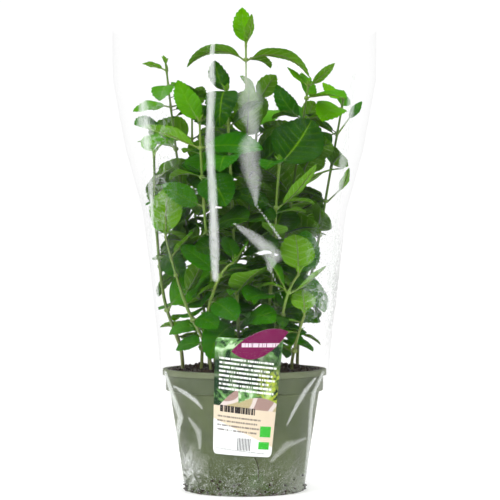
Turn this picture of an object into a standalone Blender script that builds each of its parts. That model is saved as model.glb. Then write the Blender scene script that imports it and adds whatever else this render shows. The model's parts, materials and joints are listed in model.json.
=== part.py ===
"""A potted mint in its shop sleeve: pot, substrate, fifteen rooted shoots, a plant card and a film sleeve.

Metres, +Z up. The origin is the centre of the pot's foot, on the surface that it stands on, and -Y is
the front. Each shoot is a square stem, as mint has, with crossed pairs of leaves. Its three largest
pairs are pieces of their own, each held on a collar round the stem. The small pairs, low down and at
the tip, are grown in one with the stem.
"""

import math

import bmesh
import bpy
from mathutils import Matrix, Vector
from mathutils.bvhtree import BVHTree

# ---------------------------------------------------------------- driving dimensions
GAP = 0.0003

POT_HEIGHT = 0.089
RIM_RADIUS = 0.060
FOOT_RADIUS = 0.0435
POT_WALL = 0.0012
LIP_HEIGHT = 0.0045
BAND_HEIGHT = 0.012
FLOOR_LIFT = 0.004
DRAIN_RADIUS = 0.0035
DRAIN_COUNT = 6
POT_SIDES = 36

SOIL_TOP = 0.0905
SOIL_MOUND = 0.003
SOCKET_FLOOR = 0.068
STEM_UPRIGHT = 0.088

CARD_WIDTH = 0.046
CARD_HEIGHT = 0.083
CARD_THICKNESS = 0.0004
CARD_CORNER = 0.003
TAB_MIDDLE = (0.0075, 0.0798)
TAB_HALF = (0.0193, 0.0095)
TAB_RISE = 0.0080
TAB_SAG = 0.0018
CARD_FOOT = 0.0305
CARD_OFFSET = 0.0018
CARD_LEAN = math.radians(6)
CARD_TILT = math.radians(3.6)

FILM_THICKNESS = 0.0005
VENT_RADIUS = 0.0028
VENT_HEIGHTS = (0.048, 0.125, 0.2055, 0.286)
VENT_AZIMUTH = math.radians(50)
TOP_ARCH = 0.002

STEM_FOOT_SIDE = 0.0024
STEM_TIP_SIDE = 0.0014
COLLAR_WALL = 0.0007
COLLAR_HEIGHT = 0.0024
BLADE_STATIONS = ((0.18, 0.80), (0.48, 1.00), (0.80, 0.66))
RIB_ABOVE = 0.00025
RIB_BELOW = 0.0006
CLEARANCE = 0.0007

# Heights of the sleeve, with its half-width and its depth in front of and behind the pot's axis.
SLEEVE_STATIONS = (
    (0.0012, 0.0468, 0.0480, 0.0462),
    (0.0280, 0.0515, 0.0572, 0.0512),
    (0.0850, 0.0610, 0.0620, 0.0610),
    (0.1180, 0.0640, 0.0658, 0.0640),
    (0.1610, 0.0685, 0.0690, 0.0685),
    (0.2050, 0.0745, 0.0740, 0.0730),
    (0.2490, 0.0868, 0.0785, 0.0780),
    (0.3010, 0.0962, 0.0840, 0.0840),
    (0.3360, 0.0965, 0.0860, 0.0860),
)

# Each shoot: where it roots, a point on its way, its tip, the azimuth that its first face looks to in
# degrees, the heights of its pairs of leaves in millimetres, the length of its largest leaf and how many
# of its pairs are pieces of their own. The topmost pair sits at the tip.
SHOOTS = (
    ("centre_tall", (0.004, -0.004), (0.002, -0.002, 0.205), (0.001, -0.005, 0.327), 0,
     (104, 124, 147, 172, 200, 229, 257, 315, 326), 0.044, 3),
    ("left_tall", (-0.026, 0.004), (-0.043, 0.000, 0.195), (-0.058, 0.003, 0.313), 90,
     (112, 138, 165, 194, 222, 250, 281, 297, 308), 0.038, 3),
    ("right_tall", (0.020, 0.006), (0.032, 0.000, 0.195), (0.047, -0.004, 0.297), 90,
     (108, 133, 160, 188, 216, 244, 271, 287, 296), 0.038, 3),
    ("right_outer", (0.039, 0.012), (0.055, 0.010, 0.185), (0.073, 0.004, 0.288), 90,
     (114, 138, 163, 187, 212, 237, 262, 280, 287), 0.036, 3),
    ("left_front", (-0.018, -0.024), (-0.028, -0.036, 0.195), (-0.032, -0.038, 0.268), 0,
     (106, 126, 148, 168, 188, 207, 228, 249, 267), 0.036, 3),
    ("centre_front", (-0.004, -0.030), (-0.008, -0.034, 0.190), (-0.013, -0.026, 0.290), 0,
     (102, 122, 144, 168, 192, 217, 241, 264, 289), 0.040, 3),
    ("right_front", (0.016, -0.022), (0.020, -0.038, 0.165), (0.025, -0.044, 0.238), 0,
     (104, 124, 144, 164, 185, 206, 237), 0.036, 3),
    ("right_low", (0.024, -0.036), (0.028, -0.046, 0.134), (0.039, -0.048, 0.159), 0,
     (112, 130, 146, 158), 0.028, 2),
    ("left_low", (-0.024, -0.036), (-0.043, -0.038, 0.140), (-0.057, -0.027, 0.186), 0,
     (108, 126, 143, 158, 171, 185), 0.028, 2),
    ("left_outer", (-0.045, -0.008), (-0.060, -0.012, 0.150), (-0.066, -0.010, 0.246), 30,
     (112, 132, 152, 171, 190, 209, 228, 245), 0.036, 2),
    ("centre_low", (-0.031, -0.020), (-0.022, -0.044, 0.146), (-0.005, -0.049, 0.168), 0,
     (118, 140, 158, 167), 0.027, 1),
    ("right_lowest", (0.034, -0.026), (0.036, -0.040, 0.106), (0.043, -0.044, 0.130), 0,
     (104, 117, 129), 0.024, 1),
    ("back_left", (-0.022, 0.032), (-0.036, 0.044, 0.185), (-0.040, 0.048, 0.280), 35,
     (108, 131, 154, 176, 198, 220, 240, 260, 279), 0.044, 3),
    ("back_centre", (0.004, 0.026), (0.006, 0.034, 0.190), (0.010, 0.040, 0.288), 70,
     (106, 130, 153, 176, 199, 222, 245, 267, 287), 0.046, 3),
    ("back_right", (0.026, 0.034), (0.038, 0.044, 0.180), (0.046, 0.050, 0.270), 25,
     (106, 127, 148, 169, 190, 211, 231, 251, 269), 0.044, 3),
)

# Leaves that set the plant's outline: shoot, pair counted from the tip, face of the stem, then azimuth,
# lift, droop and roll in degrees, and length, width and stalk in millimetres.
SET_LEAVES = (
    ("centre_tall", 0, 1, 115, 62, -30, -15, 26, 15, 3),
    ("centre_tall", 0, 3, -50, 58, -30, 20, 20, 12, 3),
    ("centre_tall", 1, 2, 180, 40, 95, 15, 43, 20, 4),
    ("centre_tall", 1, 0, 0, 30, 92, -15, 48, 20, 4),
    ("centre_tall", 2, 3, 275, 35, -50, 0, 38, 21, 6),
    ("left_tall", 0, 1, 190, 45, 30, 15, 15, 10, 3),
    ("left_tall", 0, 3, 20, 70, -10, -20, 12, 8, 2),
    ("left_tall", 1, 0, 40, 40, 50, 20, 20, 13, 3),
    ("left_tall", 1, 2, 255, -10, 45, 0, 21, 16, 4),
    ("left_tall", 2, 3, -20, 15, 40, 35, 20, 15, 4),
    ("left_tall", 2, 1, 190, 0, 45, -30, 24, 15, 4),
    ("left_tall", 3, 0, 140, 15, 40, -20, 34, 22, 5),
    ("left_tall", 3, 2, 222, 15, 45, -35, 38, 27, 5),
    ("right_tall", 0, 1, 180, 55, -5, -30, 17, 9, 3),
    ("right_tall", 0, 3, 0, 38, -8, -35, 22, 11, 3),
    ("right_tall", 1, 2, -42, 12, 30, 10, 34, 20, 4),
    ("right_tall", 2, 1, 155, 50, -35, -45, 30, 15, 4),
    ("right_tall", 2, 3, 20, 35, 20, -30, 26, 16, 4),
    ("right_outer", 0, 1, 165, 55, -28, -50, 17, 10, 2),
    ("right_outer", 0, 3, 15, 55, -28, 50, 17, 10, 2),
    ("right_outer", 1, 2, 240, 20, 50, -25, 30, 22, 4),
    ("right_outer", 2, 3, -8, 40, 4, 50, 15, 9, 14),
    ("right_outer", 2, 1, 195, 15, 60, -40, 28, 21, 4),
    ("right_outer", 4, 3, -5, 20, -45, -30, 18, 10, 12),
    ("left_front", 0, 1, 140, 50, -12, -30, 35, 18, 3),
    ("left_front", 0, 3, -40, 68, -12, 0, 26, 13, 3),
    ("left_front", 1, 2, 180, 28, 15, 20, 38, 20, 4),
    ("left_front", 1, 0, -12, 10, 25, 45, 40, 22, 4),
    ("left_front", 3, 2, 190, 25, -5, -55, 29, 19, 4),
    ("centre_front", 0, 3, 262, 12, 105, 0, 44, 23, 4),
    ("centre_front", 0, 1, 140, 50, -30, -20, 24, 16, 3),
    ("centre_front", 2, 3, 260, 20, 70, 0, 38, 24, 5),
    ("right_front", 0, 1, 42, 35, -22, 40, 42, 38, 4),
    ("right_front", 0, 3, 250, 20, 60, 0, 26, 18, 4),
    ("right_front", 1, 0, -30, 35, -20, 0, 38, 19, 5),
    ("right_front", 1, 2, 195, 30, 20, -50, 26, 17, 4),
    ("right_low", 0, 3, 268, 40, -45, 0, 26, 25, 5),
    ("right_low", 0, 1, 70, 45, -25, 30, 34, 24, 4),
    ("right_low", 1, 0, -15, 40, -15, -30, 33, 15, 7),
    ("left_low", 0, 3, 268, 42, -45, 0, 35, 23, 4),
    ("left_low", 0, 1, 160, 20, 20, -20, 20, 14, 4),
    ("left_low", 3, 0, -20, 25, -15, -40, 28, 21, 4),
    ("left_low", 3, 2, 200, 20, 30, 20, 17, 14, 3),
    ("centre_low", 0, 3, -30, 25, 10, 45, 21, 18, 3),
    ("centre_low", 1, 2, 160, 40, 10, -35, 31, 19, 4),
    ("right_lowest", 0, 3, 268, 42, -45, 0, 18, 20, 5),
)

LEAF_COLOUR = (0.075, 0.230, 0.020, 1)
STEM_COLOUR = (0.200, 0.270, 0.050, 1)


# ---------------------------------------------------------------- shared tools
def clear_scene():
    for old in list(bpy.data.objects):
        bpy.data.objects.remove(old, do_unlink=True)


def plain_material(name, colour, roughness, alpha=1.0):
    material = bpy.data.materials.new(name)
    material.use_nodes = True
    shader = material.node_tree.nodes["Principled BSDF"]
    shader.inputs["Base Color"].default_value = colour
    shader.inputs["Roughness"].default_value = roughness
    shader.inputs["Metallic"].default_value = 0.0
    shader.inputs["Alpha"].default_value = alpha
    return material


def solid_from(name, shape, material=None):
    """One closed mesh object from a bmesh, with its faces turned outwards."""
    bmesh.ops.recalc_face_normals(shape, faces=shape.faces)
    mesh = bpy.data.meshes.new(name)
    shape.to_mesh(mesh)
    shape.free()
    return placed(name, mesh, material)


def placed(name, mesh, material):
    if material:
        mesh.materials.append(material)
    made = bpy.data.objects.new(name, mesh)
    bpy.context.scene.collection.objects.link(made)
    return made


def solid(name, points, faces, material):
    """One closed mesh object from its points and faces."""
    shape = bmesh.new()
    corners = [shape.verts.new(p) for p in points]
    for face in faces:
        shape.faces.new([corners[i] for i in face])
    return solid_from(name, shape, material)


def shade_round(made, crease_degrees):
    made.data.shade_smooth()
    made.data.set_sharp_from_angle(angle=math.radians(crease_degrees))


def cut(made, cutter):
    """Takes the cutter out of an object. The cutter stays as a guide that isn't part of the model."""
    cutter.hide_render = True
    cutter.display_type = "WIRE"
    boolean = made.modifiers.new(cutter.name, "BOOLEAN")
    boolean.object = cutter
    boolean.operation = "DIFFERENCE"


def mix(a, b, share):
    return a + (b - a) * share


def between_stations(stations, height):
    """The values at a height, read along straight runs from one station to the next."""
    height = min(max(height, stations[0][0]), stations[-1][0])
    for low, high in zip(stations, stations[1:]):
        if height <= high[0]:
            share = (height - low[0]) / (high[0] - low[0])
            return [mix(a, b, share) for a, b in zip(low[1:], high[1:])]


def turned(name, profile, material, closed=True):
    """A profile of (radius, height) points spun round the pot's axis. An open one ends on the axis."""
    shape = bmesh.new()
    line = [shape.verts.new((radius, 0, height)) for radius, height in profile]
    runs = [shape.edges.new(pair) for pair in zip(line, line[1:])]
    if closed:
        runs.append(shape.edges.new((line[-1], line[0])))
    bmesh.ops.spin(
        shape,
        geom=line + runs,
        cent=(0, 0, 0),
        axis=(0, 0, 1),
        angle=2 * math.pi,
        steps=POT_SIDES,
        use_merge=True,
    )
    bmesh.ops.remove_doubles(shape, verts=shape.verts, dist=1e-6)
    return solid_from(name, shape, material)


def sheet(name, grid, thickness, material):
    """A sheet through rows of points, thickened outwards."""
    rows, columns = len(grid), len(grid[0])
    faces = []
    for row in range(rows - 1):
        for column in range(columns - 1):
            here = row * columns + column
            faces.append((here, here + 1, here + columns + 1, here + columns))
    mesh = bpy.data.meshes.new(name)
    mesh.from_pydata([point for row in grid for point in row], [], faces)
    made = placed(name, mesh, material)
    thicken = made.modifiers.new("thickness", "SOLIDIFY")
    thicken.thickness = thickness
    thicken.offset = 1
    return made


def rods(name, ends, radius, sides):
    """Several straight rods in one mesh, used as a cutter."""
    shape = bmesh.new()
    for start, finish in ends:
        along = finish - start
        turn = along.to_track_quat("Z", "Y").to_matrix().to_4x4()
        bmesh.ops.create_cone(
            shape,
            cap_ends=True,
            segments=sides,
            radius1=radius,
            radius2=radius,
            depth=along.length,
            matrix=Matrix.Translation((start + finish) / 2) @ turn,
        )
    return solid_from(name, shape)


# ---------------------------------------------------------------- pot and substrate
def pot_wall_radius(height):
    """Outer radius of the plain wall, below the wider band under the lip."""
    return mix(FOOT_RADIUS, RIM_RADIUS - 0.0035, height / (POT_HEIGHT - LIP_HEIGHT))


def make_pot():
    """A thin moulded pot: lip, wider band under it, tapered wall, raised floor on a flat foot ring."""
    lip_low = POT_HEIGHT - LIP_HEIGHT
    band_low = lip_low - BAND_HEIGHT
    band_radius = RIM_RADIUS - 0.0024
    floor_edge = FOOT_RADIUS - 0.006
    profile = [
        (floor_edge, 0.0),
        (FOOT_RADIUS, 0.0),
        (pot_wall_radius(band_low), band_low),
        (band_radius, band_low + 0.001),
        (band_radius, lip_low),
        (RIM_RADIUS, lip_low),
        (RIM_RADIUS, POT_HEIGHT),
        (band_radius - POT_WALL, POT_HEIGHT),
        (band_radius - POT_WALL, band_low + 0.001),
        (pot_wall_radius(band_low) - POT_WALL, band_low),
        (pot_wall_radius(FLOOR_LIFT) - POT_WALL, FLOOR_LIFT + POT_WALL),
        (0.003, FLOOR_LIFT + POT_WALL),
        (0.003, FLOOR_LIFT),
        (floor_edge - 0.002, FLOOR_LIFT),
    ]
    pot = turned("pot", profile, plain_material("pot_plastic", (0.19, 0.23, 0.12, 1), 0.5))
    holes = []
    for hole in range(DRAIN_COUNT):
        turn = 2 * math.pi * (hole + 0.5) / DRAIN_COUNT
        place = Vector((math.cos(turn), math.sin(turn), 0)) * 0.026
        holes.append((place, place + Vector((0, 0, 0.012))))
    cut(pot, rods("drain_cutter", holes, DRAIN_RADIUS, 10))
    shade_round(pot, 30)


def make_soil(stem_feet):
    """The root ball, one plug of peat that fills the pot, with a socket for each stem."""
    band_low = POT_HEIGHT - LIP_HEIGHT - BAND_HEIGHT
    inset = POT_WALL + GAP
    floor = FLOOR_LIFT + POT_WALL + GAP
    profile = [
        (0.0, floor),
        (pot_wall_radius(FLOOR_LIFT) - inset, floor),
        (pot_wall_radius(band_low) - inset, band_low + GAP),
        (RIM_RADIUS - 0.0024 - inset, band_low + 0.001 + GAP),
        (RIM_RADIUS - 0.0024 - inset, SOIL_TOP - SOIL_MOUND),
        (0.034, SOIL_TOP),
        (0.0, SOIL_TOP + SOIL_MOUND),
    ]
    soil = turned("soil", profile, plain_material("peat", (0.045, 0.030, 0.018, 1), 0.95), closed=False)
    sockets = []
    for x, y in stem_feet:
        sockets.append((Vector((x, y, SOCKET_FLOOR)), Vector((x, y, SOIL_TOP + 0.01))))
    cut(soil, rods("socket_cutter", sockets, STEM_FOOT_SIDE / math.sqrt(2) + 4 * GAP, 6))


# ---------------------------------------------------------------- sleeve and card
def sleeve_radius(azimuth, height):
    """Distance from the axis to the sleeve's inner face: an oval, deeper in front where the card lies."""
    width, front, back = between_stations(SLEEVE_STATIONS, height)
    across = math.cos(azimuth) / width
    deep = math.sin(azimuth) / (front if math.sin(azimuth) < 0 else back)
    return 1 / math.hypot(across, deep)


def make_sleeve_panel(name, first_azimuth, material):
    """Half of the sleeve, from one welded side seam to the other, with two columns of punched vents."""
    columns = 12
    seam = math.radians(0.4)
    grid = []
    for station in SLEEVE_STATIONS:
        row = []
        for column in range(columns + 1):
            azimuth = mix(first_azimuth + seam, first_azimuth + math.pi - seam, column / columns)
            height = station[0]
            if station is SLEEVE_STATIONS[-1]:
                height += TOP_ARCH * math.sin(azimuth) ** 2
            radius = sleeve_radius(azimuth, height)
            row.append((radius * math.cos(azimuth), radius * math.sin(azimuth), height))
        grid.append(row)
    panel = sheet(name, grid, FILM_THICKNESS, material)
    middle = first_azimuth + math.pi / 2
    holes = []
    for side in (-1, 1):
        azimuth = middle + side * VENT_AZIMUTH
        for height in VENT_HEIGHTS:
            outward = Vector((math.cos(azimuth), math.sin(azimuth), 0))
            radius = sleeve_radius(azimuth, height)
            lift = Vector((0, 0, height))
            holes.append((outward * (radius - 0.006) + lift, outward * (radius + 0.006) + lift))
    cut(panel, rods(name + "_vent_cutter", holes, VENT_RADIUS, 8))
    shade_round(panel, 40)


def make_card():
    """The plant card, bent to the pot and held between the pot's lip and the sleeve."""
    rows = 4
    half = CARD_WIDTH / 2
    inner = half - CARD_CORNER
    corner = [half, half - CARD_CORNER * 0.3, half - CARD_CORNER * 0.65]
    columns = [-across for across in corner]
    columns += [mix(-inner, inner, share / 10) for share in range(11)]
    columns += corner[::-1]
    columns += [mix(half + 0.0003, TAB_MIDDLE[0] + TAB_HALF[0] * 0.985, share / 3) for share in range(4)]
    grid = [[] for row in range(rows + 1)]
    for across in columns:
        low, high = card_edges(across)
        for row in range(rows + 1):
            grid[row].append(card_point(across, mix(low, high, row / rows)))
    card_stock = plain_material("card_stock", (0.82, 0.82, 0.80, 1), 0.35)
    card = sheet("plant_card", grid, CARD_THICKNESS, card_stock)
    shade_round(card, 40)


def card_edges(across):
    """Where the card begins and ends along a line up it: rounded corners, and a pointed tab at its top."""
    away = (across - TAB_MIDDLE[0]) / TAB_HALF[0]
    reach = TAB_HALF[1] * (1 - away * away)
    tab = TAB_MIDDLE[1] + TAB_RISE * away + TAB_SAG * away * away
    if across > CARD_WIDTH / 2:
        return tab - reach, tab + reach
    into_corner = max(0.0, abs(across) - (CARD_WIDTH / 2 - CARD_CORNER))
    cut_back = CARD_CORNER - math.sqrt(max(CARD_CORNER**2 - into_corner**2, 1e-8))
    high = CARD_HEIGHT - cut_back
    return cut_back, max(high, tab + reach) if abs(away) < 1 else high


def card_point(across, up):
    """A point of the flat card, tilted in its own plane and then bent round the leaning cone it lies on."""
    x = across * math.cos(CARD_TILT) + up * math.sin(CARD_TILT)
    rise = up * math.cos(CARD_TILT) - across * math.sin(CARD_TILT)
    height = CARD_FOOT + rise
    lip_middle = POT_HEIGHT - LIP_HEIGHT / 2
    radius = RIM_RADIUS + 2 * GAP + (height - lip_middle) * math.tan(CARD_LEAN)
    turn = (x - CARD_OFFSET) / RIM_RADIUS
    return (radius * math.sin(turn), -radius * math.cos(turn), height)


# ---------------------------------------------------------------- shoots
class Stem:
    """The line of one shoot: upright in its socket, then a smooth bend to its tip."""

    def __init__(self, foot, waypoint, tip):
        ground = Vector((foot[0], foot[1], STEM_UPRIGHT))
        waypoint, tip = Vector(waypoint), Vector(tip)
        self.foot = Vector((foot[0], foot[1], SOCKET_FLOOR + GAP))
        self.control = ground + Vector((0, 0, (waypoint.z - ground.z) * 0.45))
        self.points = (ground, waypoint, tip)
        self.leave = (tip - ground) * 0.22

    def at(self, share):
        """The point and the direction at a share of the height above ground."""
        step = 0.01
        here = self.place(share)
        along = (self.place(min(share + step, 1)) - self.place(max(share - step, 0))).normalized()
        return here, along

    def place(self, share):
        ground, waypoint, tip = self.points
        if share < 0.5:
            t = share * 2
            pulled = waypoint - self.leave
            return bezier(ground, self.control, pulled, waypoint, t)
        t = share * 2 - 1
        upper = waypoint + self.leave
        return bezier(waypoint, upper, mix(upper, tip, 0.5), tip, t)

    def side(self, share):
        return mix(STEM_FOOT_SIDE, STEM_TIP_SIDE, share)

    def share_at(self, height):
        low, high = 0.0, 1.0
        for _ in range(24):
            middle = (low + high) / 2
            if self.place(middle).z < height:
                low = middle
            else:
                high = middle
        return low


def bezier(a, b, c, d, t):
    return a * (1 - t) ** 3 + b * 3 * t * (1 - t) ** 2 + c * 3 * t * t * (1 - t) + d * t**3


def square_ring(centre, along, azimuth, side):
    """Four corners round a stem. Face k lies between corners k - 1 and k and looks to azimuth + 90 k."""
    east = Vector((math.cos(azimuth), math.sin(azimuth), 0))
    east = (east - along * east.dot(along)).normalized()
    north = along.cross(east)
    half = side / 2
    return [
        centre + east * half * x + north * half * y
        for x, y in ((1, 1), (-1, 1), (-1, -1), (1, -1))
    ]


def heading(azimuth, rise):
    level = math.cos(rise)
    return Vector((math.cos(azimuth) * level, math.sin(azimuth) * level, math.sin(rise)))


def leaf_rings(root, azimuth, leaf, grow=0.0):
    """The leaf's cross-sections, each (left edge, rib above, right edge, rib below), and its tip point."""
    sideways = Vector((-math.sin(azimuth), math.cos(azimuth), 0))
    total = leaf["petiole"] + leaf["length"]
    steps = 12
    line = [root]
    for step in range(steps):
        angle = leaf["lift"] - leaf["droop"] * (step + 0.5) / steps
        line.append(line[-1] + heading(azimuth, angle) * total / steps)

    def on_line(distance):
        whole = min(distance / total * steps, steps - 1e-6)
        low = int(whole)
        share = whole - low
        point = line[low].lerp(line[low + 1], share)
        ahead = heading(azimuth, leaf["lift"] - leaf["droop"] * whole / steps)
        normal = ahead.cross(sideways)
        across = sideways * math.cos(leaf["roll"]) + normal * math.sin(leaf["roll"])
        return point, across, ahead.cross(across)

    rings = []
    stalk = leaf["stalk"]
    for share, width in ((0.0, stalk / leaf["width"]),) + BLADE_STATIONS:
        point, across, normal = on_line(leaf["petiole"] + leaf["length"] * share)
        half = leaf["width"] * width / 2 + grow
        fold = normal * leaf["fold"] * half if share else Vector()
        above = (RIB_ABOVE if share else stalk / 2) + grow
        below = (RIB_BELOW if share else stalk / 2) + grow
        left = point + across * half + fold
        right = point - across * half + fold
        rings.append([left, point + normal * above, right, point - normal * below])
    tip = on_line(total)[0]
    return rings, tip


def add_tube(points, faces, start, rings, tip):
    """Carries a shape on from four corner indices, through each ring, to a tip point."""
    before = start
    for ring in rings:
        here = list(range(len(points), len(points) + 4))
        points.extend(ring)
        for i in range(4):
            after = (i + 1) % 4
            faces.append((before[i], before[after], here[after], here[i]))
        before = here
    points.append(tip)
    for i in range(4):
        faces.append((before[i], before[(i + 1) % 4], len(points) - 1))


def tree_of(rings, tip):
    """A closed leaf for the clearance test, from its first ring to its tip."""
    points, faces = list(rings[0]), [(0, 1, 2, 3)]
    add_tube(points, faces, [0, 1, 2, 3], rings[1:], tip)
    return Shape(points, faces)


class Shape:
    """A mesh for clearance tests, with its box and a number of the shoot it belongs to."""

    def __init__(self, points, faces, owner=None):
        self.tree = BVHTree.FromPolygons(points, faces)
        self.low = Vector(map(min, zip(*points)))
        self.high = Vector(map(max, zip(*points)))
        self.owner = owner

    def meets(self, other):
        if any(self.high[i] < other.low[i] or other.high[i] < self.low[i] for i in range(3)):
            return False
        return bool(self.tree.overlap(other.tree))


def in_room(points):
    """True where every point is in the sleeve, above the peat and clear of the pot's lip and the card."""
    for x, y, z in points:
        radius = math.hypot(x, y)
        limit = sleeve_radius(math.atan2(y, x), z) - 0.0012
        if z < POT_HEIGHT + 0.002:
            limit = min(limit, RIM_RADIUS - 0.006)
        elif z < CARD_FOOT + CARD_HEIGHT + 0.004:
            limit = min(limit, RIM_RADIUS - 0.001)
        if radius > limit or z < SOIL_TOP + SOIL_MOUND + 0.001:
            return False
    return True


def sway(shoot, pair, side, salt):
    """A fixed irregularity between -1 and 1 for one leaf, so that no two leaves are alike."""
    return math.sin(12.9898 * (shoot + 1) + 78.233 * (pair + 1) + 37.719 * (side + 1) + 4.581 * salt)


def leaf_of(shoot, pair, side, share, largest, root, azimuth):
    """A leaf's form from where it grows: small near the peat, large mid-way, more upright at the tip."""
    size = math.sin(math.pi * min(1.0, 0.16 + share * 0.72)) ** 0.7
    length = max(0.014, largest * size * (1 + 0.12 * sway(shoot, pair, side, 1)))
    outward = Vector((root.x, root.y, 0)).normalized()
    sideways = Vector((-math.sin(azimuth), math.cos(azimuth), 0))
    return {
        "length": length,
        "width": length * (0.72 + 0.08 * sway(shoot, pair, side, 2)),
        "petiole": 0.003 + length * 0.05,
        "stalk": 0.0011 + length * 0.006,
        "lift": math.radians(24 + 26 * share + 18 * sway(shoot, pair, side, 3)),
        "droop": math.radians(58 - 26 * share + 24 * sway(shoot, pair, side, 4)),
        "roll": math.radians(-42 * outward.dot(sideways) + 10 * sway(shoot, pair, side, 5)),
        "fold": 0.16 + 0.14 * sway(shoot, pair, side, 6),
    }


def tries():
    """Small changes of turn, lift and size, from none to the most that a leaf may need to find room."""
    for size in (1.0, 0.88, 0.76, 0.64, 0.52, 0.42):
        for turn in (0, 15, -15, 30, -30, 45, -45):
            for lift in (0, 15, -15, 30, -30, 45):
                yield size, math.radians(turn), math.radians(lift)


def settle_leaf(root, azimuth, leaf, own_stem, placed, owner):
    """The first change of the leaf that touches nothing. Returns it with its shape for later tests."""
    for size, turn, lift in tries():
        changed = dict(leaf, lift=leaf["lift"] + lift)
        for measure in ("length", "width", "petiole"):
            changed[measure] = leaf[measure] * size
        rings, tip = leaf_rings(root, azimuth + turn, changed, CLEARANCE)
        if not in_room([p for ring in rings for p in ring] + [tip]):
            continue
        blade = tree_of(rings, tip)
        if blade.meets(own_stem):
            continue
        across = Vector((-math.sin(azimuth), math.cos(azimuth), 0)) * 0.0014
        start = [root + across, root + Vector((0, 0, 0.0014)), root - across, root - Vector((0, 0, 0.0014))]
        whole = tree_of([start] + rings, tip)
        whole.owner = owner
        if any(other.owner != owner and whole.meets(other) for other in placed):
            continue
        if any(other.owner == owner and other is not own_stem and blade.meets(other) for other in placed):
            continue
        return azimuth + turn, changed, whole
    return None


def stem_rings(stem, shares, azimuth, wider=0.0):
    return [square_ring(*stem.at(share), azimuth, stem.side(share) + wider) for share in shares]


def stem_shape(stem, azimuth, number):
    """The stem with room for its collars, for the clearance tests."""
    rings = [square_ring(stem.foot, Vector((0, 0, 1)), azimuth, 0.006)]
    rings += stem_rings(stem, [i / 12 for i in range(13)], azimuth, 2 * (GAP + COLLAR_WALL + CLEARANCE))
    points, faces = list(rings[0]), [(0, 1, 2, 3)]
    tip = rings[-1][0] + (rings[-1][2] - rings[-1][0]) / 2 + Vector((0, 0, 0.003))
    add_tube(points, faces, [0, 1, 2, 3], rings[1:], tip)
    return Shape(points, faces, number)


class Shoot:
    """One shoot as it is planned: its stem, and where each of its pairs of leaves sits."""

    def __init__(self, number, entry):
        self.name, foot, waypoint, tip, first, heights, self.largest, apart = entry
        self.number = number
        self.foot = foot
        self.stem = Stem(foot, waypoint, tip)
        self.azimuth = math.radians(first)
        self.pairs = len(heights)
        self.leaves = {}
        self.shares = [self.stem.share_at(height / 1000) for height in heights]
        self.apart = []
        ranked = sorted(range(self.pairs - 1), key=lambda pair: -self.pair_length(pair))
        self.apart = sorted(ranked[:apart])

    def pair_length(self, pair):
        return max(self.leaf(pair, *root)["length"] for root in self.roots(pair))

    def leaf(self, pair, face, grown_azimuth, root):
        """The leaf's form as it grows by itself, or as it is set."""
        for name, from_tip, set_face, azimuth, lift, droop, roll, length, width, stalk in SET_LEAVES:
            if (name, self.pairs - 1 - from_tip, set_face) == (self.name, pair, face):
                return {
                    "azimuth": math.radians(azimuth),
                    "length": length / 1000,
                    "width": width / 1000,
                    "petiole": stalk / 1000,
                    "stalk": 0.0011 + length * 0.000006,
                    "lift": math.radians(lift),
                    "droop": math.radians(droop),
                    "roll": math.radians(roll),
                    "fold": 0.16 + 0.14 * sway(self.number, pair, face, 6),
                }
        share = self.shares[pair]
        return leaf_of(self.number, pair, face, share, self.largest, root, grown_azimuth)

    def faces_of(self, pair):
        """The two opposite stem faces that a pair grows from. Each pair is crossed with the one below."""
        return (0, 2) if (self.pairs - pair) % 2 == 0 else (1, 3)

    def roots(self, pair):
        """Where the two petioles of a pair start, on the stem or on the collar round it."""
        share = self.shares[pair]
        centre, along = self.stem.at(share)
        reach = self.stem.side(share) / 2
        if pair in self.apart:
            reach += GAP + COLLAR_WALL
        found = []
        for face in self.faces_of(pair):
            azimuth = self.azimuth + face * math.pi / 2
            outward = Vector((math.cos(azimuth), math.sin(azimuth), 0))
            outward = (outward - along * outward.dot(along)).normalized()
            found.append((face, azimuth, centre + outward * reach))
        return found


def plan_leaves(shoots):
    """Gives each leaf its place, the set ones first and then the largest, with no leaf touching another."""
    stems = {shoot.number: stem_shape(shoot.stem, shoot.azimuth, shoot.number) for shoot in shoots}
    placed = list(stems.values())
    wanted = []
    for shoot in shoots:
        for pair in range(shoot.pairs):
            for face, azimuth, root in shoot.roots(pair):
                leaf = shoot.leaf(pair, face, azimuth, root)
                rank = (0 if "azimuth" in leaf else 1, -leaf["length"], shoot.number, pair, face)
                wanted.append((rank, leaf.pop("azimuth", azimuth), root, leaf))
    for rank, azimuth, root, leaf in sorted(wanted, key=lambda item: item[0]):
        number, pair, face = rank[2:]
        found = settle_leaf(root, azimuth, leaf, stems[number], placed, number)
        if found:
            turned_azimuth, settled, shape = found
            shoots[number].leaves[pair, face] = (root, turned_azimuth, settled)
            placed.append(shape)


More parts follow.
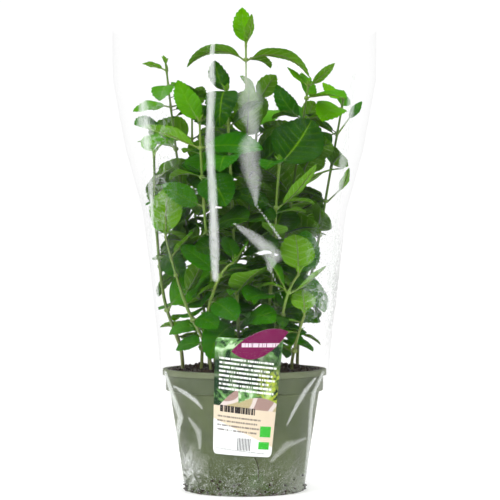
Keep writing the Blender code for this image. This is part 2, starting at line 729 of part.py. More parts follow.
def build_stem(shoot, material):
    """The stem with the small pairs that are grown in one with it, closed by the bud at its tip."""
    stem, azimuth = shoot.stem, shoot.azimuth
    half = 0.0007 / (stem.points[2] - stem.points[0]).length
    joined = [pair for pair in range(shoot.pairs) if pair not in shoot.apart]
    shares = {0.0, 1.0}
    last = 0.0
    for pair, share in enumerate(shoot.shares):
        shares.add((last + share) / 2)
        shares |= {share - half, share + half}
        last = share
    shares = sorted(shares)
    rings = [square_ring(stem.foot, Vector((0, 0, 1)), azimuth, stem.side(0))]
    rings += stem_rings(stem, shares, azimuth)
    points = [p for ring in rings for p in ring]
    faces = [(3, 2, 1, 0)]
    grown = {}
    for pair in joined:
        level = 1 + shares.index(shoot.shares[pair] - half)
        for face in shoot.faces_of(pair):
            if (pair, face) in shoot.leaves:
                grown[level, face] = shoot.leaves[pair, face]
    for level in range(len(rings) - 1):
        for face in range(4):
            low, high = level * 4, level * 4 + 4
            right, left = (face - 1) % 4, face
            if (level, face) in grown:
                root, turned_azimuth, leaf = grown[level, face]
                leaf_ring_list, tip = leaf_rings(root, turned_azimuth, leaf)
                start = [high + left, high + right, low + right, low + left]
                add_tube(points, faces, start, leaf_ring_list, tip)
            else:
                faces.append((low + right, low + left, high + left, high + right))
    top = (len(rings) - 1) * 4
    centre, along = stem.at(1.0)
    points.append(centre + along * 0.0022)
    faces += [(top + i, top + (i + 1) % 4, len(points) - 1) for i in range(4)]
    solid("stem_" + shoot.name, points, faces, material)


def build_pair(shoot, pair, material):
    """Two opposite leaves on the collar that clasps the stem at their node."""
    centre, along = shoot.stem.at(shoot.shares[pair])
    side = shoot.stem.side(shoot.shares[pair]) + 2 * GAP
    points, faces = [], []
    for width in (side, side + 2 * COLLAR_WALL):
        for level in (-0.5, 0.5):
            points += square_ring(centre + along * COLLAR_HEIGHT * level, along, shoot.azimuth, width)
    inner_low, inner_high, outer_low, outer_high = (range(i * 4, i * 4 + 4) for i in range(4))
    for face in range(4):
        right, left = (face - 1) % 4, face
        faces.append((inner_low[right], inner_low[left], inner_high[left], inner_high[right]))
        faces.append((inner_low[right], inner_low[left], outer_low[left], outer_low[right]))
        faces.append((inner_high[right], inner_high[left], outer_high[left], outer_high[right]))
        if (pair, face) in shoot.leaves:
            root, azimuth, leaf = shoot.leaves[pair, face]
            rings, tip = leaf_rings(root, azimuth, leaf)
            start = [outer_high[left], outer_high[right], outer_low[right], outer_low[left]]
            add_tube(points, faces, start, rings, tip)
        else:
            faces.append((outer_low[right], outer_low[left], outer_high[left], outer_high[right]))
    number = shoot.apart.index(pair) + 1
    solid(f"leaf_pair_{shoot.name}_{number}", points, faces, material)


def make_shoots():
    shoots = [Shoot(number, entry) for number, entry in enumerate(SHOOTS)]
    plan_leaves(shoots)
    stem_material = plain_material("stem_green", STEM_COLOUR, 0.6)
    leaf_material = plain_material("mint_leaf", LEAF_COLOUR, 0.55)
    for shoot in shoots:
        build_stem(shoot, stem_material)
        for pair in shoot.apart:
            build_pair(shoot, pair, leaf_material)
    return shoots


def main():
    clear_scene()
    make_pot()
    shoots = make_shoots()
    make_soil([shoot.foot for shoot in shoots])
    make_card()
    film = plain_material("clear_film", (0.95, 0.97, 0.96, 1), 0.08, 0.2)
    make_sleeve_panel("sleeve_front", math.pi, film)
    make_sleeve_panel("sleeve_back", 0.0, film)


main()
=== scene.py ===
import itertools
import json
import math
import random

import bmesh
import bpy
import numpy as np
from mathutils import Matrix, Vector, noise

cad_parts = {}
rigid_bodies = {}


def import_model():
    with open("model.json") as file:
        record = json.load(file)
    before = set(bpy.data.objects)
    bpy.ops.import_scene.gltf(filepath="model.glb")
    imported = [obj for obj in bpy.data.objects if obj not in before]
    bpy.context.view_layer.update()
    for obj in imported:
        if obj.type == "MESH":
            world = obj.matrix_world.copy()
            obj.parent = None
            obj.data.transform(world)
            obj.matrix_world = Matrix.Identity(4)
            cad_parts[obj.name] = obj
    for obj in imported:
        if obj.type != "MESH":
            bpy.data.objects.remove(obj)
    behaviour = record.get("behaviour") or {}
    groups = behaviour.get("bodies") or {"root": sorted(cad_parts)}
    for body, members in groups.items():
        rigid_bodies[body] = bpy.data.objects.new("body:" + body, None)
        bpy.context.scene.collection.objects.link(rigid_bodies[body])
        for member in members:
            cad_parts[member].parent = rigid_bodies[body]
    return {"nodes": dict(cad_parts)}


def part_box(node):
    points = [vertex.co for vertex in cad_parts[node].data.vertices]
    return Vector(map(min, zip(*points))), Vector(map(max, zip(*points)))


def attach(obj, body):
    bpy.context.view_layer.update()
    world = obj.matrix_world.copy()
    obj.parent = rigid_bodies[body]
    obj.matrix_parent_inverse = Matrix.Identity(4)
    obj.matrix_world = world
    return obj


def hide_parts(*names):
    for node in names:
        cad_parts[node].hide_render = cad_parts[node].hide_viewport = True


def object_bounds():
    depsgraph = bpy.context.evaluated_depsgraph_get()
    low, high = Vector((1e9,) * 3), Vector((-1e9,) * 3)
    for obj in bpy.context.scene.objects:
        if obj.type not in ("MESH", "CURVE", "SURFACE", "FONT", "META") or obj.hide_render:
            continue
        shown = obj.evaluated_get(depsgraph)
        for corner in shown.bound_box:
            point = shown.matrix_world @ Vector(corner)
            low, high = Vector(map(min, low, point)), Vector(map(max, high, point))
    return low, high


for start_up in list(bpy.data.objects):
    bpy.data.objects.remove(start_up)
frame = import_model()
cad_low, cad_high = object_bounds()


# ---------------------------------------------------------------- studio
# A seamless pale table with a bright surround, lit by two large softboxes and a wide one overhead.
# The camera stands a metre and a half away, level with the middle of the plant.
class Reading:
    """An output of a material's node. Expressions on readings add Math nodes."""

    def __init__(self, finish, socket):
        self.finish, self.socket = finish, socket

    def __getitem__(self, name):
        return Reading(self.finish, self.socket.node.outputs[name])

    def maths(self, operation, *values):
        return self.finish.add("ShaderNodeMath", {"operation": operation}, dict(enumerate(values)))

    def __add__(self, other):
        return self.maths("ADD", self, other)

    def __sub__(self, other):
        return self.maths("SUBTRACT", self, other)

    def __rsub__(self, other):
        return self.maths("SUBTRACT", other, self)

    def __mul__(self, other):
        return self.maths("MULTIPLY", self, other)

    def __truediv__(self, other):
        return self.maths("DIVIDE", self, other)

    def __pow__(self, other):
        return self.maths("POWER", self, other)

    def __mod__(self, other):
        return self.maths("FLOORED_MODULO", self, other)

    def __abs__(self):
        return self.maths("ABSOLUTE", self)

    def __gt__(self, other):
        return self.maths("GREATER_THAN", self, other)

    def __lt__(self, other):
        return self.maths("LESS_THAN", self, other)

    __radd__, __rmul__ = __add__, __mul__

    def most(self, other):
        return self.maths("MAXIMUM", self, other)

    def least(self, other):
        return self.maths("MINIMUM", self, other)

    def step(self, low, high):
        """0 below low, 1 above high, and a smooth rise between them."""
        ends = {"Value": self, "From Min": low, "From Max": high}
        return self.finish.add("ShaderNodeMapRange", {"interpolation_type": "SMOOTHSTEP"}, ends)


class Finish:
    """A material, or the surround, of procedural nodes, all of which add() makes."""

    def __init__(self, name, kind="materials"):
        self.material = getattr(bpy.data, kind).new(name)
        self.material.use_nodes = True
        self.tree = self.material.node_tree
        self.tree.nodes.clear()

    def add(self, kind, settings=None, sockets=None, output=0):
        node = self.tree.nodes.new(kind)
        for name, value in (settings or {}).items():
            setattr(node, name, value)
        for key, value in (sockets or {}).items():
            if isinstance(value, Reading):
                self.tree.links.new(value.socket, node.inputs[key])
            else:
                node.inputs[key].default_value = value
        return Reading(self, node.outputs[output]) if node.outputs else None

    def place(self):
        """Where a point lies in the frame, in metres."""
        return self.add("ShaderNodeTexCoord")["Object"]

    def height(self):
        """How high a point lies above the table, in metres."""
        return self.add("ShaderNodeSeparateXYZ", None, {0: self.place()}, output=2)

    def attribute(self, name):
        """A reading that the mesh carries at its points."""
        return self.add("ShaderNodeAttribute", {"attribute_name": name})["Fac"]

    def noise(self, scale, detail=2.0, **more):
        values = {"Vector": self.place(), "Scale": scale, "Detail": detail}
        return self.add("ShaderNodeTexNoise", None, values | more)

    def mix(self, share, first, second, how="MIX"):
        settings = {"data_type": "RGBA", "blend_type": how}
        return self.add("ShaderNodeMix", settings, {0: share, 6: first, 7: second}, output=2)

    def coats(self, colour, *layers):
        """A colour with others laid over it in turn, each by its own share."""
        for share, layer in layers:
            colour = self.mix(share, colour, layer)
        return colour

    def mixed(self, share, first, second):
        return self.add("ShaderNodeMixShader", None, {0: share, 1: first, 2: second})

    def bump(self, height, depth, strength=1.0):
        return self.add("ShaderNodeBump", None, {"Height": height, "Distance": depth, "Strength": strength})

    def principled(self, **sockets):
        named = {name.replace("_", " "): value for name, value in sockets.items()}
        return self.add("ShaderNodeBsdfPrincipled", None, named)

    def show(self, shader):
        self.add("ShaderNodeOutputMaterial", None, {"Surface": shader})
        return self.material


def paint(red, green, blue):
    """A colour from the 0 to 255 values of a colour chart."""
    return tuple((value / 255) ** 2.2 for value in (red, green, blue)) + (1.0,)


def new_piece(name, mesh, materials, slot=None, nodes=()):
    made = bpy.data.objects.new(name, mesh)
    bpy.context.scene.collection.objects.link(made)
    for material in materials:
        mesh.materials.append(material)
    if slot:
        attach(made, "root")
    if nodes:
        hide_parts(*nodes)
    return made


table_top = bpy.data.meshes.new("table")
table_radius, table_sides = 1.1, 64
turns = [k * math.tau / table_sides for k in range(table_sides)]
table_edge = [(table_radius * math.cos(turn), table_radius * math.sin(turn), 0) for turn in turns]
table_top.from_pydata(table_edge, [], [range(table_sides)])
card_white = Finish("table_white")
grain = card_white.noise(30.0)["Fac"]
pale = card_white.mix(grain, (0.86, 0.86, 0.86, 1), (0.89, 0.89, 0.89, 1))
table_skin = card_white.principled(Base_Color=pale, Roughness=0.8, Emission_Color=(1, 1, 1, 1),
                                   Emission_Strength=0.40)
table = new_piece("table", table_top, [card_white.show(table_skin)])


def softbox(name, place, size, power):
    lamp = bpy.data.lights.new(name, "AREA")
    lamp.shape, lamp.size, lamp.size_y, lamp.energy = "RECTANGLE", size[0], size[1], power
    made = bpy.data.objects.new(name, lamp)
    bpy.context.scene.collection.objects.link(made)
    made.location = place
    made.rotation_euler = (Vector((0, 0, 0.18)) - made.location).to_track_quat("-Z", "Y").to_euler()


softbox("left_softbox", Vector((-1.3, -1.3, 0.9)), (0.9, 1.2), 27)
softbox("right_softbox", Vector((1.4, -1.0, 0.8)), (0.7, 1.2), 13)
softbox("top_softbox", Vector((0.0, -0.1, 1.6)), (1.6, 1.2), 20)

surround = Finish("surround", "worlds")
bpy.context.scene.world = surround.material
white = (1, 1, 1, 1)
to_back = surround.add("ShaderNodeSeparateXYZ", None, {0: surround.add("ShaderNodeTexCoord")["Generated"]},
                       output=1)
room_light = surround.add("ShaderNodeMapRange", None, {
    "Value": to_back, "From Min": -0.25, "From Max": 0.45, "To Min": 0.10, "To Max": 0.55})
room = surround.add("ShaderNodeBackground", None, {"Color": white, "Strength": room_light})
backdrop = surround.add("ShaderNodeBackground", None, {"Color": white, "Strength": 1.05})
seen = surround.add("ShaderNodeLightPath")["Is Camera Ray"]
surround.add("ShaderNodeOutputWorld", None, {"Surface": surround.mixed(seen, room, backdrop)})
bpy.context.scene.view_settings.view_transform = "Standard"

lens = bpy.data.cameras.new("camera")
lens.lens, lens.sensor_width = 141.2, 36
camera = bpy.data.objects.new("camera", lens)
bpy.context.scene.collection.objects.link(camera)
camera.location = (0.004, -1.44, 0.178)
camera.rotation_euler = (Vector((0.004, 0, 0.1758)) - camera.location).to_track_quat("-Z", "Y").to_euler()
bpy.context.scene.camera = camera


# ---------------------------------------------------------------- pot
# A thin nursery pot, vacuum formed in olive plastic: lip, wider band under it, tapered wall and a
# raised floor with a drain hole at its middle, on a foot ring. It stands on the table by its foot.
def turned(profile, steps):
    """A closed profile of (radius, height) points spun round the pot's axis."""
    shape = bmesh.new()
    line = [shape.verts.new((radius, 0, height)) for radius, height in profile]
    runs = [shape.edges.new((a, b)) for a, b in zip(line, line[1:] + line[:1])]
    bmesh.ops.spin(shape, geom=line + runs, cent=(0, 0, 0), axis=(0, 0, 1),
                   angle=2 * math.pi, steps=steps, use_merge=True)
    bmesh.ops.remove_doubles(shape, verts=shape.verts, dist=1e-6)
    bmesh.ops.recalc_face_normals(shape, faces=shape.faces)
    return shape


def smooth_mesh(shape, name, crease=None):
    """A mesh from a bmesh, shaded smooth except over creases sharper than the angle given."""
    if crease is not None:
        for edge in shape.edges:
            edge.smooth = edge.is_manifold and edge.calc_face_angle(0.0) < math.radians(crease)
    mesh = bpy.data.meshes.new(name)
    shape.to_mesh(mesh)
    shape.free()
    mesh.polygons.foreach_set("use_smooth", [True] * len(mesh.polygons))
    return mesh


pot_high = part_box("pot")[1]
rim_radius, pot_height = pot_high.x, pot_high.z
foot_radius, pot_wall, floor_lift = 0.0435, 0.0012, 0.004
lip_height, band_height, lip_overhang, taper_to_lip = 0.0045, 0.012, 0.0024, 0.0035
hub_radius, foot_ring, pot_sides = 0.003, 0.006, 144
lip_low = pot_height - lip_height
band_low = lip_low - band_height
band_radius = rim_radius - lip_overhang


def wall_radius(height):
    """The pot's outer radius at a height, below its band."""
    return foot_radius + (rim_radius - taper_to_lip - foot_radius) * height / lip_low


pot_shape = turned([
    (foot_radius - foot_ring, 0.0),
    (foot_radius, 0.0),
    (wall_radius(band_low), band_low),
    (band_radius, band_low + 0.001),
    (band_radius, lip_low),
    (rim_radius, lip_low),
    (rim_radius, pot_height),
    (band_radius - pot_wall, pot_height),
    (band_radius - pot_wall, band_low + 0.001),
    (wall_radius(band_low) - pot_wall, band_low),
    (wall_radius(floor_lift) - pot_wall, floor_lift + pot_wall),
    (hub_radius, floor_lift + pot_wall),
    (hub_radius, floor_lift),
    (foot_radius - foot_ring - 0.002, floor_lift),
], pot_sides)
sharp = [e for e in pot_shape.edges if e.is_manifold and e.calc_face_angle(0.0) > math.radians(25)
         and abs(e.verts[0].co.z - e.verts[1].co.z) < 1e-6]
bmesh.ops.bevel(pot_shape, geom=sharp, offset=0.00045, segments=3, profile=0.5, affect="EDGES")
plastic = Finish("pot_plastic")
drift = plastic.noise(28.0, 4.0)["Fac"]
speck = plastic.noise(700.0, 3.0)["Fac"]
moss = plastic.noise(62.0, 2.0)["Fac"]
height = plastic.height()
low_down = 1 - height.step(0.004, 0.055)
olive = plastic.coats(
    paint(66, 78, 42), (drift.step(0.35, 0.7), paint(90, 100, 64)),
    ((height > band_low + 0.0006) * 0.45, paint(70, 80, 56)),
    # The lip is painted lighter: a painted highlight along the rim.
    ((height > lip_low + 0.0004) * 0.5, paint(112, 120, 90)), (low_down * 0.45, paint(62, 74, 36)),
    (moss.step(0.62, 0.72) * low_down * 0.7, paint(58, 84, 18)),
    (speck.step(0.66, 0.74) * (low_down * 0.7 + 0.1), paint(34, 38, 22)))
pot_skin = plastic.principled(
    Base_Color=olive, Roughness=0.40 + drift * 0.2,
    Normal=plastic.bump(drift * 3.0 + speck * 0.15, 0.0006, 0.35))
new_piece("nursery_pot", smooth_mesh(pot_shape, "nursery_pot", 40),
          [plastic.show(pot_skin)], "pot_plastic", ["pot"])


# ---------------------------------------------------------------- peat
# The root ball fills the pot to just under its lip. Its top is dark, moist, crumbly peat with
# loose crumbs, a few pale bark fibres and the stems rising from it.
soil_low, soil_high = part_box("soil")
peat_radius = soil_high.x - 0.0001
peat_random = random.Random(11)


def peat_height(x, y):
    """The peat's mounded, lumpy top."""
    spot = Vector((x, y, 0.0))
    lumps = noise.fractal(spot * 160, 0.9, 2.1, 4) * 0.0012 + noise.noise(spot * 45) * 0.0008
    return soil_high.z - 0.0012 - 0.0045 * (math.hypot(x, y) / peat_radius) ** 2 + lumps


peat_shape = bmesh.new()
around = 120
rings = []
for radius in [peat_radius * share / 34 for share in range(1, 35)]:
    ring = []
    for step in range(around):
        x, y = radius * math.cos(step * math.tau / around), radius * math.sin(step * math.tau / around)
        ring.append(peat_shape.verts.new((x, y, min(peat_height(x, y), soil_high.z + 0.0006))))
    rings.append(ring)
for radius, level in ((peat_radius, band_low + 0.0015),
                      (wall_radius(band_low) - pot_wall - 0.0004, band_low),
                      (wall_radius(floor_lift) - pot_wall - 0.0004, soil_low.z)):
    rings.append([peat_shape.verts.new((radius * math.cos(s * math.tau / around),
                                        radius * math.sin(s * math.tau / around), level))
                  for s in range(around)])
for inner, outer in zip(rings, rings[1:]):
    for s in range(around):
        t = (s + 1) % around
        peat_shape.faces.new((inner[s], outer[s], outer[t], inner[t]))
crown = peat_shape.verts.new((0, 0, peat_height(0, 0)))
keel = peat_shape.verts.new((0, 0, soil_low.z))
for s in range(around):
    t = (s + 1) % around
    peat_shape.faces.new((rings[0][s], rings[0][t], crown))
    peat_shape.faces.new((rings[-1][t], rings[-1][s], keel))
bmesh.ops.recalc_face_normals(peat_shape, faces=peat_shape.faces)

peat = Finish("peat")
clod = peat.noise(420.0, 6.0)["Fac"]
fibre = peat.noise(150.0, 5.0, Distortion=1.6)["Fac"]
brown = peat.coats(
    paint(26, 19, 13), (clod.step(0.35, 0.7), paint(70, 52, 36)),
    (fibre.step(0.66, 0.74) * 0.5, paint(128, 104, 74)))
peat_skin = peat.principled(Base_Color=brown, Roughness=0.9, Normal=peat.bump(clod, 0.0012))
peat.show(peat_skin)
new_piece("peat_ball", smooth_mesh(peat_shape, "peat_ball"), [peat.material], "peat", ["soil"])


def crumbs(name, spots, material, slot):
    """Loose crumbs, each a small ball with an uneven surface."""
    shape = bmesh.new()
    for spot, size, seed in spots:
        made = bmesh.ops.create_icosphere(shape, subdivisions=2, radius=size)["verts"]
        for vert in made:
            lump = 1 + 0.45 * noise.noise(vert.co * (1.3 / size) + Vector((seed, 0, 0)))
            vert.co = spot + Vector((vert.co.x, vert.co.y, vert.co.z * 0.75)) * lump
    return new_piece(name, smooth_mesh(shape, name), [material], slot)


crumb_spots = []
for number in range(420):
    reach = (peat_radius - 0.002) * math.sqrt(peat_random.random())
    turn = peat_random.uniform(0, math.tau)
    x, y = reach * math.cos(turn), reach * math.sin(turn)
    size = peat_random.uniform(0.0004, 0.0017)
    crumb_spots.append((Vector((x, y, peat_height(x, y) + size * 0.3)), size, number * 3.7))
crumbs("peat_crumbs", crumb_spots, peat.material, "peat")


# ---------------------------------------------------------------- plant card
# A card of coated stock with a plum tab at its top right, printed on its front: a leafy picture
# above a band of stones, a dark heading bar and plain lines below. The pot's lip and the film hold it.
card_mesh = bmesh.new()
card_mesh.from_mesh(frame["nodes"]["plant_card"].data)
bmesh.ops.remove_doubles(card_mesh, verts=card_mesh.verts, dist=2e-6)
card_tilt, card_offset, bend_radius = math.radians(3.6), 0.0018, rim_radius
card_width, card_height, card_foot = 0.046, 0.083, 0.0305
tab_across, tab_up, tab_half, tab_reach = 0.0075, 0.0798, 0.0193, 0.0098
tab_rise, tab_sag = 0.0080, 0.0018

card = Finish("card_print")
spot = card.add("ShaderNodeSeparateXYZ", None, {0: card.place()})
turn = card.add("ShaderNodeMath", {"operation": "ARCTAN2"}, {0: spot["X"], 1: spot["Y"] * -1})
level = turn * bend_radius + card_offset
rise = spot["Z"] - card_foot
across = level * math.cos(card_tilt) - rise * math.sin(card_tilt)
up = level * math.sin(card_tilt) + rise * math.cos(card_tilt)
across = across / card_width + 0.5
up = up / card_height


def panel(left, right, low, high, soft=0.006):
    """1 inside a rectangle of the card, in shares of its width and height."""
    sides = across.step(left - soft, left + soft) * (1 - across.step(right - soft, right + soft))
    return sides * up.step(low - soft, low + soft) * (1 - up.step(high - soft, high + soft))


def word_line(low, high, left, right, slant, seed, dashes):
    """A line of greeked words: dashes of uneven length with gaps."""
    tilted = up - across * slant
    inside = tilted.step(low - 0.002, low + 0.002) * (1 - tilted.step(high - 0.002, high + 0.002))
    inside = inside * across.step(left - 0.01, left) * (1 - across.step(right, right + 0.01))
    row = card.add("ShaderNodeCombineXYZ", None, {0: across * dashes, 1: seed, 2: 0.0})
    dash = card.add("ShaderNodeTexNoise", None, {"Vector": row, "Scale": 1.0, "Detail": 1.0})["Fac"]
    return inside * dash.step(0.40, 0.47)


leafy = card.noise(90.0, 2.0, Distortion=1.2)["Fac"]
veined = card.noise(420.0, 3.0)["Fac"]
middle_high = up.step(0.52, 0.62) * (1 - up.step(0.80, 0.92))
picture = card.coats(
    paint(18, 52, 24), (leafy.step(0.42, 0.55), paint(104, 156, 84)),
    (leafy.step(0.56, 0.66), paint(190, 220, 176)), ((1 - veined.step(0.3, 0.5)) * 0.5, paint(16, 40, 18)),
    (middle_high * leafy.step(0.30, 0.60) * 0.75, paint(14, 22, 8)))
yellowish = across.step(0.62, 0.80) * (1 - up.step(0.66, 0.80)) * veined.step(0.35, 0.60)
picture = card.mix(yellowish * 0.8, picture, paint(178, 196, 62))
stone = card.noise(52.0, 0.0)["Fac"]
stones = card.coats(
    paint(178, 164, 124), (stone.step(0.42, 0.46), paint(214, 202, 196)),
    (stone.step(0.54, 0.57), paint(160, 132, 124)))
arc = 0.50 - (across - 0.72) ** 2.0 * 0.55 + (1 - across.step(0.38, 0.40)) * 0.13
front = card.mix((up - arc).step(0.0, 0.008), stones, picture)
front = card.mix((up + across * 0.03).step(0.415, 0.425), paint(222, 206, 182), front)
plain = 1 - (up - 0.30 + across * 0.22).step(0.0, 0.012)
front = card.mix(plain, front, paint(240, 242, 242))
for number in range(8):
    low = 0.565 + number * 0.0365
    line = word_line(low, low + 0.017, 0.08, 0.94 - 0.05 * (number % 3), -0.035, number * 7.3, 60.0)
    front = card.mix(line, front, paint(250, 251, 248))
heading = word_line(0.372, 0.428, 0.10, 0.66, -0.03, 71.0, 46.0)
front = card.mix(heading, front, paint(48, 42, 40))
for number in range(4):
    low = 0.325 - number * 0.038
    line = word_line(low, low + 0.015, 0.07, 0.76 - 0.05 * (number % 2), -0.03, 90 + number * 5.1, 70.0)
    front = card.mix(line * 0.85, front, paint(104, 96, 90))
bars = ((across * 40.0) % 1.0).step(0.45, 0.55) * panel(0.40, 0.63, 0.045, 0.150, 0.002)
front = card.mix(bars, front, paint(40, 40, 42))
for low, high, left, right in ((0.170, 0.262, 0.77, 0.95), (0.064, 0.128, 0.76, 0.94)):
    front = card.mix(panel(left, right, low, high, 0.003), front, paint(52, 176, 48))
front = card.mix(word_line(0.048, 0.058, 0.06, 0.88, -0.03, 33.0, 70.0) * 0.6, front, paint(130, 130, 130))
away = (across - 0.5 - tab_across / card_width) / (tab_half / card_width)
tab_middle = (away * tab_rise + away * away * tab_sag + tab_up) / card_height
badge = 1 - (abs(up - tab_middle) - (1 - away * away) * (tab_reach / card_height)).step(-0.002, 0.002)
front = card.mix(badge, front, paint(112, 0, 72))
badge_words = word_line(0.915, 0.950, 0.40, 0.96, 0.030, 12.0, 44.0)
front = card.mix(badge_words * badge * 0.85, front, paint(238, 222, 234))
outward = card.add("ShaderNodeSeparateXYZ", None, {0: card.add("ShaderNodeNewGeometry")["Normal"]}, output=1)
print_side = outward < -0.2
stock = card.mix(print_side, paint(232, 232, 226), front)
card_skin = card.principled(
    Base_Color=stock, Roughness=0.45, Coat_Weight=0.05, Specular_IOR_Level=0.2,
    Normal=card.bump(card.noise(700.0, 2.0)["Fac"], 0.00004))
new_piece("printed_plant_card", smooth_mesh(card_mesh, "printed_plant_card", 30),
          [card.show(card_skin)], "card_stock", ["plant_card"])


# ---------------------------------------------------------------- stems
# Square mint stems, rooted in the peat: fresh green above, brown and woody low down, a little
# thicker at each node where a pair of leaves joins, with fine hairs and a young bud at the tip.
def welded(node):
    """A CAD node's points, and for each the points that it shares an edge with."""
    shape = bmesh.new()
    shape.from_mesh(frame["nodes"][node].data)
    bmesh.ops.remove_doubles(shape, verts=shape.verts, dist=2e-6)
    shape.verts.ensure_lookup_table()
    places = [vert.co.copy() for vert in shape.verts]
    near = [{edge.other_vert(vert).index for edge in vert.link_edges} for vert in shape.verts]
    shape.free()
    return places, near


def matched(places, ring, following):
    """The following ring's points in the order that keeps each nearest to its partner in this one."""
    return min(itertools.permutations(following),
               key=lambda order: sum((places[a] - places[b]).length_squared for a, b in zip(ring, order)))


def next_ring(places, near, ring, passed):
    found = set().union(*(near[point] for point in ring)) - passed
    return list(matched(places, ring, found)) if len(found) == 4 else None


def leaves_in(places, near):
    """The leaves of a CAD solid, each as its rings from the stem to the blade's end, and its tip.
    A blade's ring holds its left edge, the rib above, its right edge and the rib below."""
    leaves = []
    for tip, around_tip in enumerate(near):
        if len(around_tip) != 4:
            continue
        ends = sorted(itertools.combinations(around_tip, 2),
                      key=lambda pair: (places[pair[0]] - places[pair[1]]).length)
        above, below = ends[0]
        left, right = around_tip - {above, below}
        width = (places[left] - places[right]).length
        if width < 2.2 * (places[above] - places[below]).length:
            continue
        edge_middle = (places[left] + places[right]) / 2
        to_tip = (places[tip] - edge_middle).length
        wedge = (places[left] - places[tip]).angle(places[right] - places[tip])
        if wedge > math.radians(150) or to_tip < 0.0008:
            continue
        if (places[above] - edge_middle).length > (places[below] - edge_middle).length:
            above, below = below, above
        rings = [[left, above, right, below]]
        passed = {tip, left, above, right, below}
        while len(rings) < 5:
            ring = next_ring(places, near, rings[0], passed)
            if ring is None:
                break
            rings.insert(0, ring)
            passed |= set(ring)
        if len(rings) == 5:
            leaves.append((rings, tip))
    return leaves


def curve_through(points, steps):
    """Points on a smooth line through those given, with each one's share of the way between its two."""
    padded = [points[0] * 2 - points[1]] + list(points) + [points[-1] * 2 - points[-2]]
    line = []
    for k in range(1, len(points)):
        a, b, c, d = padded[k - 1:k + 3]
        for step in range(steps):
            t = step / steps
            line.append((b * 2 + (c - a) * t + (a * 2 - b * 5 + c * 4 - d) * t * t
                         + (b * 3 - a - c * 3 + d) * t ** 3) / 2)
    line.append(Vector(points[-1]))
    return line


class Skin:
    """Points, faces and per-point readings of one piece, gathered part by part."""

    def __init__(self):
        self.points, self.faces, self.patches, self.readings = [], [], [], []

    def add(self, point, reading):
        self.points.append(point)
        self.readings.append(reading)
        return len(self.points) - 1

    def grid(self, rows, patch, closed=False):
        for low, high in zip(rows, rows[1:]):
            for k in range(len(low) if closed else len(low) - 1):
                j = (k + 1) % len(low)
                self.faces.append((low[k], low[j], high[j], high[k]))
                self.patches.append(patch)

    def fan(self, ring, point, patch):
        for k in range(len(ring)):
            self.faces.append((ring[k], ring[(k + 1) % len(ring)], point))
            self.patches.append(patch)

    def mesh(self, name):
        made = bpy.data.meshes.new(name)
        made.from_pydata(self.points, [], self.faces)
        made.polygons.foreach_set("material_index", self.patches)
        made.polygons.foreach_set("use_smooth", [True] * len(self.faces))
        for number, label in enumerate(("across", "vein", "tone", "shade")):
            layer = made.attributes.new(label, "FLOAT", "POINT")
            layer.data.foreach_set("value", [reading[number] for reading in self.readings])
        return made


def tube(skin, line, radii, sides, patch, reading, squareness=2.0, corner=None):
    """A tube along a line, with round or rounded-square sections, closed to a point at both ends."""
    rows = []
    side = corner or (line[1] - line[0]).orthogonal()
    for k, (point, radius) in enumerate(zip(line, radii)):
        ahead = (line[min(k + 1, len(line) - 1)] - line[max(k - 1, 0)]).normalized()
        side = (side - ahead * side.dot(ahead)).normalized()
        other = ahead.cross(side)
        row = []
        for s in range(sides):
            angle = s * math.tau / sides
            c, d = math.cos(angle + math.pi / 4), math.sin(angle + math.pi / 4)
            reach = radius / (abs(c) ** squareness + abs(d) ** squareness) ** (1 / squareness)
            row.append(skin.add(point + (side * math.cos(angle) + other * math.sin(angle)) * reach,
                                (reading[0], reading[1], reading[2], k / (len(line) - 1))))
        rows.append(row)
    skin.grid(rows, patch, closed=True)
    for row, point, share in ((rows[0], line[0], 0.0), (rows[-1], line[-1], 1.0)):
        skin.fan(row, skin.add(Vector(point), (*reading, share)), patch)


stem_names = sorted(name for name in frame["nodes"] if name.startswith("stem_"))
stem_lines, stem_leaves, stem_sides = {}, {}, {}
for node in stem_names:
    places, near = welded(node)
    leaves = leaves_in(places, near)
    stem_leaves[node] = [([[places[p] for p in ring] for ring in rings], places[tip])
                         for rings, tip in leaves]
    blades = set()
    for rings, tip in leaves:
        blades |= {tip}.union(*rings[1:])
    foot_level = min(place.z for place in places)
    ring = [p for p in range(len(places)) if places[p].z < foot_level + 1e-5]
    centre = sum((places[p] for p in ring), Vector()) / 4
    ring.sort(key=lambda p: math.atan2(places[p].y - centre.y, places[p].x - centre.x))
    rings, passed = [ring], blades | set(ring)
    while ring:
        ring = next_ring(places, near, rings[-1], passed)
        if ring:
            rings.append(ring)
            passed |= set(ring)
    centres = [sum((places[p] for p in r), Vector()) / 4 for r in rings]
    stem_lines[node] = centres
    stem_sides[node] = [((places[r[0]] - c), (places[r[0]] - c).length / math.sqrt(2))
                        for r, c in zip(rings, centres)]



def leaf_frame(rings, tip):
    """Centre, direction across and normal at each cross-section of a leaf, its half width and fold."""
    sections, fold = [], 0.0
    for number, (left, above, right, below) in enumerate(rings[1:]):
        normal = (above - below).normalized()
        centre = above.lerp(below, 0.294 if number else 0.5)
        sections.append((centre, (left - right).normalized(), normal))
        if number:
            middle = (left + right) / 2 - centre
            fold += middle.dot(normal) / (left - right).length * 2 / 3
    half = (rings[3][0] - rings[3][2]).length / 2
    sections.append((tip, sections[-1][1], sections[-1][2]))
    return sections, half, fold


blade_shares = (0.0, 0.18, 0.48, 0.80, 1.0)
columns = (-1.0, -0.93, -0.8, -0.6, -0.4, -0.2, -0.06, 0.06, 0.2, 0.4, 0.6, 0.8, 0.93, 1.0)
blade_thickness = 0.00022


